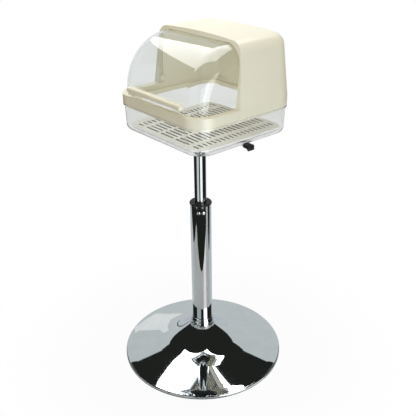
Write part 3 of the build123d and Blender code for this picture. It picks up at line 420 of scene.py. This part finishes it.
def turned_tree():
    """Copies of a piece turned round an axis, from a first angle by even steps."""
    tree, given = new_tree("turned_pieces", {
        "Piece": "NodeSocketObject", "Finish": "NodeSocketMaterial",
        "Centre": "NodeSocketVector", "Axis": "NodeSocketVector", "Count": "NodeSocketInt",
        "First": "NodeSocketFloat", "Step": "NodeSocketFloat",
    })
    points = add_node(tree, "GeometryNodePoints", {
        "Count": given["Count"], "Position": given["Centre"],
    })
    number = add_node(tree, "GeometryNodeInputIndex").outputs["Index"]
    turn_so_far = {0: number, 1: given["Step"], 2: given["First"]}
    angle = add_node(tree, "ShaderNodeMath", turn_so_far, operation="MULTIPLY_ADD")
    turn = add_node(tree, "FunctionNodeAxisAngleToRotation", {
        "Axis": given["Axis"], "Angle": angle.outputs["Value"],
    })
    return close_tree(tree, given, points.outputs["Points"], turn.outputs["Rotation"])


def repeat(tree, piece_mesh, **values):
    """Runs a repeating tree on a piece, and gives the copies as one plain mesh."""
    item = bpy.data.objects.new("repeated_piece", piece_mesh)
    holder = bpy.data.objects.new("repeat_holder", bpy.data.meshes.new("repeat_holder"))
    bpy.context.scene.collection.objects.link(holder)
    modifier = holder.modifiers.new("repeat", "NODES")
    modifier.node_group = tree
    values["Piece"] = item
    for socket in tree.interface.items_tree:
        if socket.in_out == "INPUT":
            modifier[socket.identifier] = values[socket.name]
    seen = holder.evaluated_get(bpy.context.evaluated_depsgraph_get())
    mesh = bpy.data.meshes.new_from_object(seen)
    bpy.data.objects.remove(holder)
    bpy.data.objects.remove(item)
    return mesh


def ring_of(form, radius, height, count):
    """Vertices of a ring round +Y."""
    turns = [2 * pi * i / count for i in range(count)]
    return [form.verts.new((radius * cos(a), height, -radius * sin(a))) for a in turns]


def bridge(form, lower, upper):
    """A band of faces between two rings of equal count."""
    count = len(lower)
    for i in range(count):
        k = (i + 1) % count
        form.faces.new((lower[i], lower[k], upper[k], upper[i]))


def ended(form, name, smooth_below=35):
    """Finishes a lathe or moulded form: normals outward, smooth but for its sharp edges."""
    bmesh.ops.recalc_face_normals(form, faces=form.faces[:])
    mesh = bpy.data.meshes.new(name)
    for face in form.faces:
        face.smooth = True
    for edge in form.edges:
        edge.smooth = edge.calc_face_angle(0) < radians(smooth_below)
    form.to_mesh(mesh)
    form.free()
    return mesh


def cross_screw(head_radius, head_height, shank_radius, length):
    """A pan-head screw with a cross recess: its head rises from y 0, its shank runs to -length."""
    form = bmesh.new()
    sides, dome_steps = 48, 6
    point_radius, point_length = 0.35 * shank_radius, 1.2 * shank_radius
    wall, flat = 0.45 * head_height, 0.74 * head_radius  # height below the dome, radius at its top
    profile = [
        (point_radius, -length), (shank_radius, point_length - length),
        (shank_radius, 0.0), (head_radius, 0.0), (head_radius, wall),
    ]
    for step in range(1, dome_steps + 1):
        turn = step / dome_steps * pi / 2
        radius = flat + (head_radius - flat) * cos(turn)
        profile.append((radius, wall + (head_height - wall) * sin(turn)))
    rings = [ring_of(form, radius, height, sides) for radius, height in profile]
    for lower, upper in zip(rings, rings[1:]):
        bridge(form, lower, upper)
    form.faces.new(list(reversed(rings[0])))
    arm, half = 0.56 * head_radius, 0.11 * head_radius
    recess_floor, taper = 0.38 * head_height, 0.55
    cross = [
        (arm, -half), (arm, half), (half, half), (half, arm), (-half, arm), (-half, half),
        (-arm, half), (-arm, -half), (-half, -half), (-half, -arm), (half, -arm), (half, -half),
    ]
    corners = len(cross)
    mouth = [form.verts.new((x, head_height, z)) for x, z in cross]
    floor = [form.verts.new((taper * x, recess_floor, taper * z)) for x, z in cross]
    outline = [form.edges.new((mouth[i], mouth[(i + 1) % corners])) for i in range(corners)]
    rim = [form.edges.get((rings[-1][i], rings[-1][(i + 1) % sides])) for i in range(sides)]
    bmesh.ops.triangle_fill(form, edges=outline + rim, use_beauty=True)
    bridge(form, mouth, floor)
    bmesh.ops.contextual_create(form, geom=floor)
    return ended(form, "cross_screw")


def blind_rivet(seat):
    """The domed head of a blind rivet, with its mandrel dimple, a seat's distance out along -Y."""
    form = bmesh.new()
    profile = [  # radius and height in millimetres, from under the flange to the dimple's floor
        (4.4, -0.6), (4.4, 0.1), (4.3, 0.35), (3.9, 0.75), (3.3, 1.1), (2.6, 1.35),
        (1.9, 1.45), (1.5, 1.42), (1.3, 1.2), (1.15, 0.8), (0.6, 0.7),
    ]
    rings = [ring_of(form, radius * MM, -height * MM, 40) for radius, height in profile]
    for lower, upper in zip(rings, rings[1:]):
        bridge(form, lower, upper)
    form.faces.new(rings[-1])
    form.faces.new(list(reversed(rings[0])))
    bmesh.ops.translate(form, verts=form.verts[:], vec=(0, -seat, 0))
    return ended(form, "blind_rivet", smooth_below=50)


def bar(low, high, bevel):
    """A small moulded bar with softened edges, between two corners."""
    form = bmesh.new()
    bmesh.ops.create_cube(form, size=1.0)
    size = Vector(high) - Vector(low)
    bmesh.ops.scale(form, vec=size, verts=form.verts[:])
    bmesh.ops.translate(form, vec=(Vector(high) + Vector(low)) / 2, verts=form.verts[:])
    bmesh.ops.bevel(form, geom=form.edges[:], offset=bevel, segments=2, profile=0.5, affect="EDGES")
    return ended(form, "bar", smooth_below=50)


def make_screws(tree, node, body, head_radius, head_height, shank_radius, rows):
    """Cross-recessed screws in place of a node of plain ones, found from the node's box."""
    low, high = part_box(node)
    seat = high[1] - head_height
    mesh = repeat(
        tree,
        cross_screw(head_radius, head_height, shank_radius, seat - low[1]),
        Finish=zinc,
        Centre=((low[0] + high[0]) / 2, seat, (low[2] + high[2]) / 2),
        Width=high[0] - low[0] - 2 * head_radius,
        Height=high[2] - low[2] - 2 * head_radius,
        Columns=2,
        Rows=rows,
    )
    piece = finish_piece(mesh, node + "_cross_recessed", zinc, body)
    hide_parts(node)


def make_column_rivets(tree):
    """Two blind rivets, side by side near the top of the column, that hold the guide bush."""
    below_top, first_turn, apart = 15 * MM, radians(37), radians(29)
    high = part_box("column_tube")[1]
    mesh = repeat(
        tree, blind_rivet(high[0]), Finish=chrome, Centre=(0, 0, high[2] - below_top),
        Axis=(0, 0, 1), Count=2, First=first_turn, Step=apart,
    )
    finish_piece(mesh, "column_rivets", chrome, "pedestal")


def make_dial(tree):
    """Raised ticks round the temperature knob, and a pointer at the end of the knob's ridge."""
    low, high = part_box("temperature_knob")
    centre_x, centre_z = (low[0] + high[0]) / 2, (low[2] + high[2]) / 2
    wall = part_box("unit_shell")[1][1]
    tick_low = (-0.3 * MM, -0.2 * MM, 8.4 * MM)
    tick_high = (0.3 * MM, 0.25 * MM, 10.2 * MM)
    ticks, first_turn, step = 11, radians(180), radians(-27)  # over the knob's 270 degrees
    mesh = repeat(
        tree, bar(tick_low, tick_high, 0.12 * MM), Finish=black_nylon,
        Centre=(centre_x, wall, centre_z), Axis=(0, 1, 0), Count=ticks, First=first_turn, Step=step,
    )
    finish_piece(mesh, "dial_ticks", black_nylon, "housing")
    pointer = bar(
        (centre_x - 0.5 * MM, high[1] - 3.4 * MM, low[2] - 0.5 * MM),
        (centre_x + 0.5 * MM, high[1] - 0.3 * MM, low[2] + 0.4 * MM),
        0.1 * MM,
    )
    finish_piece(pointer, "knob_pointer", black_nylon, "knob")


turned = turned_tree()
rectangle = rectangle_tree()
make_screws(
    rectangle, "unit_screws", "housing",
    head_radius=3.2 * MM, head_height=3.0 * MM, shank_radius=1.6 * MM, rows=2,
)
make_screws(
    rectangle, "handle_screws", "visor",
    head_radius=3.4 * MM, head_height=2.0 * MM, shank_radius=1.75 * MM, rows=1,
)
make_column_rivets(turned)
make_dial(turned)


# ================================================================ studio
def show_in_mirrors_only(thing):
    """Leaves a studio piece to mirrors: it isn't looked at, and lights and shades nothing else."""
    thing.visible_camera = False
    thing.visible_diffuse = False
    thing.visible_transmission = False
    thing.visible_shadow = False


def stage_sheet(name, corners, material, reflections_only=False):
    """A flat sheet of the studio through given corners."""
    mesh = bpy.data.meshes.new(name)
    mesh.from_pydata([tuple(c) for c in corners], [], [tuple(range(len(corners)))])
    sheet = bpy.data.objects.new(name, mesh)
    bpy.context.scene.collection.objects.link(sheet)
    mesh.materials.append(material)
    if reflections_only:
        show_in_mirrors_only(sheet)


def glow(name, code, strength):
    """An even glow, for cards that only mirrors see."""
    material, tree = new_material(name)
    light = add_node(tree, "ShaderNodeEmission", {"Color": linear(code), "Strength": strength})
    add_node(tree, "ShaderNodeOutputMaterial", {"Surface": light.outputs["Emission"]})
    return material


def shadow_paper(name, code, share, near, far):
    """White paper to the eye; near the object a share of its real shading keeps the soft shadow."""
    material, tree = new_material(name)
    paper = add_node(tree, "ShaderNodeBsdfDiffuse", {"Color": linear(code)})
    white = add_node(tree, "ShaderNodeEmission", {"Strength": 1.0})
    reach = add_node(tree, "ShaderNodeVectorMath", {0: surface_place(tree)}, operation="LENGTH")
    shading = add_node(
        tree,
        "ShaderNodeMapRange",
        {
            "Value": reach.outputs["Value"], "From Min": near, "From Max": far,
            "To Min": 1 - share, "To Max": 1.0,
        },
        interpolation_type="SMOOTHSTEP",
    )
    amount = add_node(
        tree,
        "ShaderNodeMath",
        {0: any_ray(tree, "Is Camera Ray", "Is Transmission Ray"), 1: shading.outputs["Result"]},
        operation="MULTIPLY",
    )
    mix = add_node(
        tree,
        "ShaderNodeMixShader",
        {0: amount.outputs["Value"], 1: paper.outputs["BSDF"], 2: white.outputs["Emission"]},
    )
    add_node(tree, "ShaderNodeOutputMaterial", {"Surface": mix.outputs["Shader"]})
    return material


def bearing(azimuth, distance, height=0.0):
    """A place at an azimuth (0 is the front, 90 the lever side) round the column."""
    turn = radians(azimuth)
    return Vector((distance * sin(turn), -distance * cos(turn), height))


def standing_card(name, azimuth, distance, width, low, high, material):
    """An upright card that faces the column and shows only in reflections."""
    centre, along = bearing(azimuth, distance), bearing(azimuth + 90, width / 2)
    base, top = Vector((0, 0, low)), Vector((0, 0, high))
    corners = [
        centre - along + base, centre + along + base, centre + along + top, centre - along + top,
    ]
    stage_sheet(name, corners, material, reflections_only=True)


def floor_patch(name, edge, lift, material):
    """A patch of floor that only reflections show, by azimuths and distances round the column."""
    corners = [bearing(azimuth, distance, lift) for azimuth, distance in edge]
    stage_sheet(name, corners, material, reflections_only=True)


def make_floor():
    """Pale paper floor, with the dark cloths and lit strips that the chrome finds beyond it.

    What lies higher covers what lies lower: back paper, lit paper, cloths, strips of light.
    """
    reach = 6.0
    corners = [(-reach, -reach, 0), (reach, -reach, 0), (reach, reach, 0), (-reach, reach, 0)]
    paper = shadow_paper("white_paper", "#CDCFD2", share=0.05, near=0.2, far=0.6)
    stage_sheet("paper_floor", corners, paper)
    back = [(-48, 0.25), (-48, 2.4), (-133, 2.4), (142, 2.4), (142, 0.25), (-133, 0.25)]
    floor_patch("back_paper", back, 0.3 * MM, glow("grey_blue_paper", "#C3CACE", 1.0))
    lit_edge = [(66, 0.2), (99, 0.2), (99, 0.66), (90, 0.58), (82, 0.53), (70, 0.46)]
    floor_patch("lit_paper", lit_edge, 0.4 * MM, glow("lit_paper", "#ECECEA", 1.0))
    cloth = glow("black_studio_cloth", "#232522", 1.0)
    front_edge = [
        (50, 0.405), (37, 0.415), (25, 0.462), (17, 0.511), (11, 0.563), (7, 0.616), (5, 0.68),
        (-2, 0.725), (-12, 0.67), (-21, 0.611), (-37, 0.572), (-47, 0.59), (-51, 0.659),
        (-58, 0.717), (-64, 0.794), (-70, 0.86), (-93, 0.87), (-115, 0.87), (-115, 3.5),
        (-66, 3.5), (-30, 3.5), (8, 3.5), (60, 3.5), (107, 3.5), (107, 0.73), (104, 0.67),
        (96, 0.615), (90, 0.562), (83, 0.511), (75, 0.462), (60, 0.415),
    ]
    floor_patch("front_cloth", front_edge, 0.5 * MM, cloth)
    right_edge = [
        (134, 0.802), (137, 0.6), (140, 0.52), (148, 0.52), (155, 0.6), (160, 0.71), (163, 0.87),
        (178, 0.87), (178, 3.5), (134, 3.5), (107, 3.5), (107, 0.9), (120, 0.9),
    ]
    floor_patch("right_cloth", right_edge, 0.5 * MM, cloth)
    near, far = 0.9, 3.0
    for name, first, last, finish in (
        ("dim_light", -14, 27, glow("dim_floor_light", "#D8DAD8", 1.0)),
        ("bright_light", 50, 91, glow("bright_floor_light", "#FFFFFF", 1.25)),
    ):
        strip = [(first, near), (first, far), (last, far), (last, near)]
        floor_patch(name, strip, 0.7 * MM, finish)


def make_room():
    """What the mirror finishes see above the floor: a dark room, pale flats, a wall and a board."""
    form = bmesh.new()
    bmesh.ops.create_icosphere(form, subdivisions=4, radius=5.0)
    bmesh.ops.bisect_plane(
        form, geom=form.verts[:] + form.edges[:] + form.faces[:],
        plane_co=(0, 0, 20 * MM), plane_no=(0, 0, 1), clear_inner=True,
    )
    mesh = bpy.data.meshes.new("room_shell")
    form.to_mesh(mesh)
    form.free()
    mesh.materials.append(glow("dark_room", "#232522", 1.0))
    shell = bpy.data.objects.new("room_shell", mesh)
    bpy.context.scene.collection.objects.link(shell)
    show_in_mirrors_only(shell)
    wall_azimuth, wall_distance, wall_width, wall_top = -133, 2.4, 4.9, 2.72
    wall = glow("grey_blue_wall", "#CACFCF", 1.0)
    standing_card("back_wall", wall_azimuth, wall_distance, wall_width, 0.0, wall_top, wall)
    flat_distance, flat_foot, flat_top = 3.4, 0.15, 2.6
    flat = glow("grey_flat", "#BCC2C3", 1.0)
    for name, azimuth, width in (("front_flat", 10, 3.0), ("lever_side_flat", 84, 2.6)):
        standing_card(name, azimuth, flat_distance, width, flat_foot, flat_top, flat)
    board = glow("light_board", "#ECEFEC", 1.0)
    outline = [
        (0.45, 0.62), (0.66, 0.71), (0.9, 0.77), (1.3, 0.78), (1.3, 1.2), (0.9, 1.28), (0.6, 1.18),
    ]
    before_wall = bearing(wall_azimuth, wall_distance - 0.05)
    corners = [
        before_wall + bearing(wall_azimuth + 90, along, height) for along, height in outline
    ]
    stage_sheet("reflector_board", corners, board, reflections_only=True)


def stand(place, aim, turn=0):
    """A lamp stand's frame: at a place, facing an aim, turned about that line by degrees."""
    facing = (Vector(aim) - Vector(place)).to_track_quat("-Z", "Y").to_matrix().to_4x4()
    return Matrix.Translation(place) @ facing @ Matrix.Rotation(radians(turn), 4, "Z")


def softbox_light(name, where, width, height, code, radiance):
    """The light of a softbox, which the mirrors don't see."""
    lamp = bpy.data.lights.new(name, "AREA")
    lamp.shape = "RECTANGLE"
    lamp.size = width
    lamp.size_y = height
    lamp.energy = radiance * pi * width * height
    lamp.color = linear(code)[:3]
    holder = bpy.data.objects.new(name, lamp)
    holder.matrix_world = where
    holder.visible_glossy = False
    bpy.context.scene.collection.objects.link(holder)
    return holder


def softbox_face(name, where, width, height, shine):
    """The bright face of a softbox, which only the polished surfaces see."""
    half = ((-1, -1), (1, -1), (1, 1), (-1, 1))
    corners = [where @ Vector((x * width / 2, y * height / 2, 0)) for x, y in half]
    stage_sheet(name, corners, glow(name + "_cloth", "#FFFFFF", shine), reflections_only=True)


def make_lamps():
    """One large softbox overhead, a tall one at the lever side and one behind."""
    wide, deep = 1.078, 0.785
    overhead = stand((-0.259, 0.065, 1.35), (-0.259, 0.065, 0), 24.5)
    softbox_light("overhead_light", overhead, wide, deep, "#E6F0FF", 2.08)
    softbox_face("overhead_face", overhead, wide, deep, 4.4)
    cabinet_height = 0.62
    cabinet = (0, 0, cabinet_height)
    side = stand(bearing(66, 1.5, cabinet_height), cabinet)
    softbox_light("side_light", side, 0.9, 1.2, "#D9EBFF", 3.75)
    softbox_face("side_face", stand(bearing(86, 1.5, cabinet_height), cabinet), 0.9, 1.2, 4.5)
    rear = stand(bearing(225, 1.6, 0.8), cabinet)
    behind = softbox_light("rear_light", rear, 1.1, 1.1, "#EEF4FF", 2.8)
    behind.visible_transmission = False  # it stands in view behind the clear pieces


def make_world():
    """White where it is looked at, and a gentle even light for the rest.

    What scattered light meets through the clear pieces is a warmer white, as of a warm room.
    """
    world = bpy.data.worlds.new("studio_world")
    bpy.context.scene.world = world
    world.use_nodes = True
    tree = world.node_tree
    tree.nodes.clear()
    bounces = add_node(tree, "ShaderNodeLightPath").outputs["Diffuse Depth"]
    blend = {0: bounces, COLOUR_A: linear("#FFFFFF"), COLOUR_B: linear("#FFEDCE")}
    white = add_node(tree, "ShaderNodeMix", blend, data_type="RGBA").outputs[COLOUR_RESULT]
    background = add_node(tree, "ShaderNodeBackground", {"Color": white, "Strength": 1.0})
    ambient = add_node(tree, "ShaderNodeBackground", {"Color": linear("#FFF0D3"), "Strength": 0.46})
    seen = any_ray(tree, "Is Camera Ray", "Is Transmission Ray", "Is Glossy Ray")
    mix = add_node(
        tree,
        "ShaderNodeMixShader",
        {0: seen, 1: ambient.outputs["Background"], 2: background.outputs["Background"]},
    )
    add_node(tree, "ShaderNodeOutputWorld", {"Surface": mix.outputs["Shader"]})


def make_camera():
    """A short telephoto from the front and the lever side, a little above the cabinet."""
    camera = bpy.data.cameras.new("camera")
    camera.sensor_width = 36.0
    camera.lens = 54.48
    camera.clip_end = 50.0
    holder = bpy.data.objects.new("camera", camera)
    place = Vector((1.0129, -0.8459, 1.0741))
    ahead = Vector((-0.677, 0.5804, -0.4524)).normalized()
    right = Vector((0.6544, 0.7561, -0.0092)).normalized()
    above = right.cross(ahead).normalized()
    turn = Matrix((right, above, -ahead)).transposed()
    holder.matrix_world = Matrix.Translation(place) @ turn.to_4x4()
    bpy.context.scene.collection.objects.link(holder)
    bpy.context.scene.camera = holder


make_floor()
make_room()
make_lamps()
make_world()
make_camera()
bpy.context.scene.view_settings.view_transform = "Standard"
